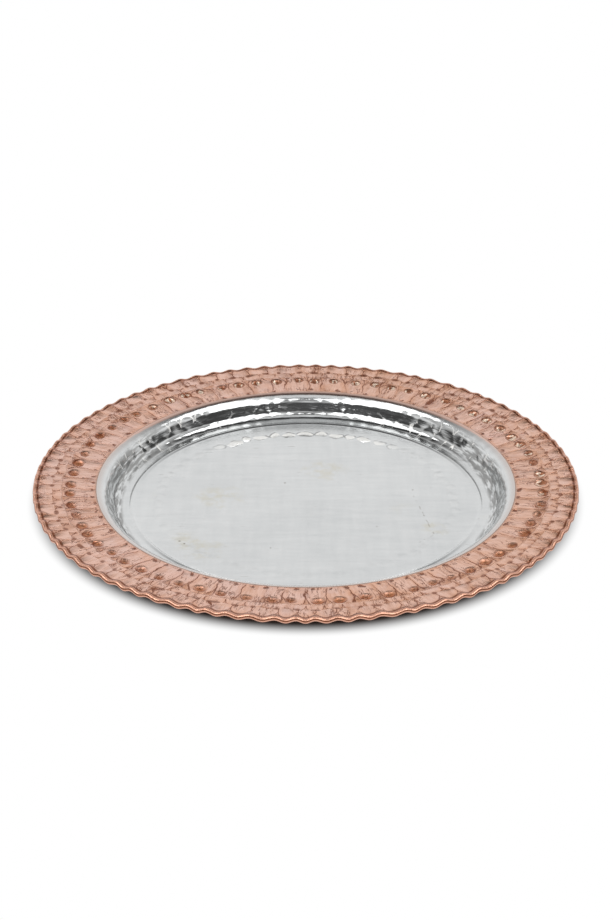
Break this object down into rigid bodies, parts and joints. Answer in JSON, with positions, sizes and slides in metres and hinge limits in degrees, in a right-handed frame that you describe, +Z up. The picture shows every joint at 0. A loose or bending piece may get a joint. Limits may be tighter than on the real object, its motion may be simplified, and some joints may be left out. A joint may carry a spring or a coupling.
{
  "type": "serving tray",
  "caption": "Round hammered copper tray with a tinned well, a wide rim and a fluted edge rolled round a wire, for serving and carrying.",
  "frame": {"origin": "centre of the underside, on the surface that the tray stands on", "axes": "+Z up along the tray's axis; +X through a crest of the scalloped edge; +Y a quarter turn from it"},
  "size_m": [0.3196, 0.3198, 0.0183],
  "materials": {
    "copper": "hammered copper, darker in the creases",
    "core_wire": "drawn wire, hidden in the rolled edge",
    "tin": "hand-wiped tin, softly bright"
  },
  "bodies": {
    "root": {"copper_tray": "copper", "rim_wire": "core_wire", "tin_lining": "tin"}
  },
  "joints": []
}
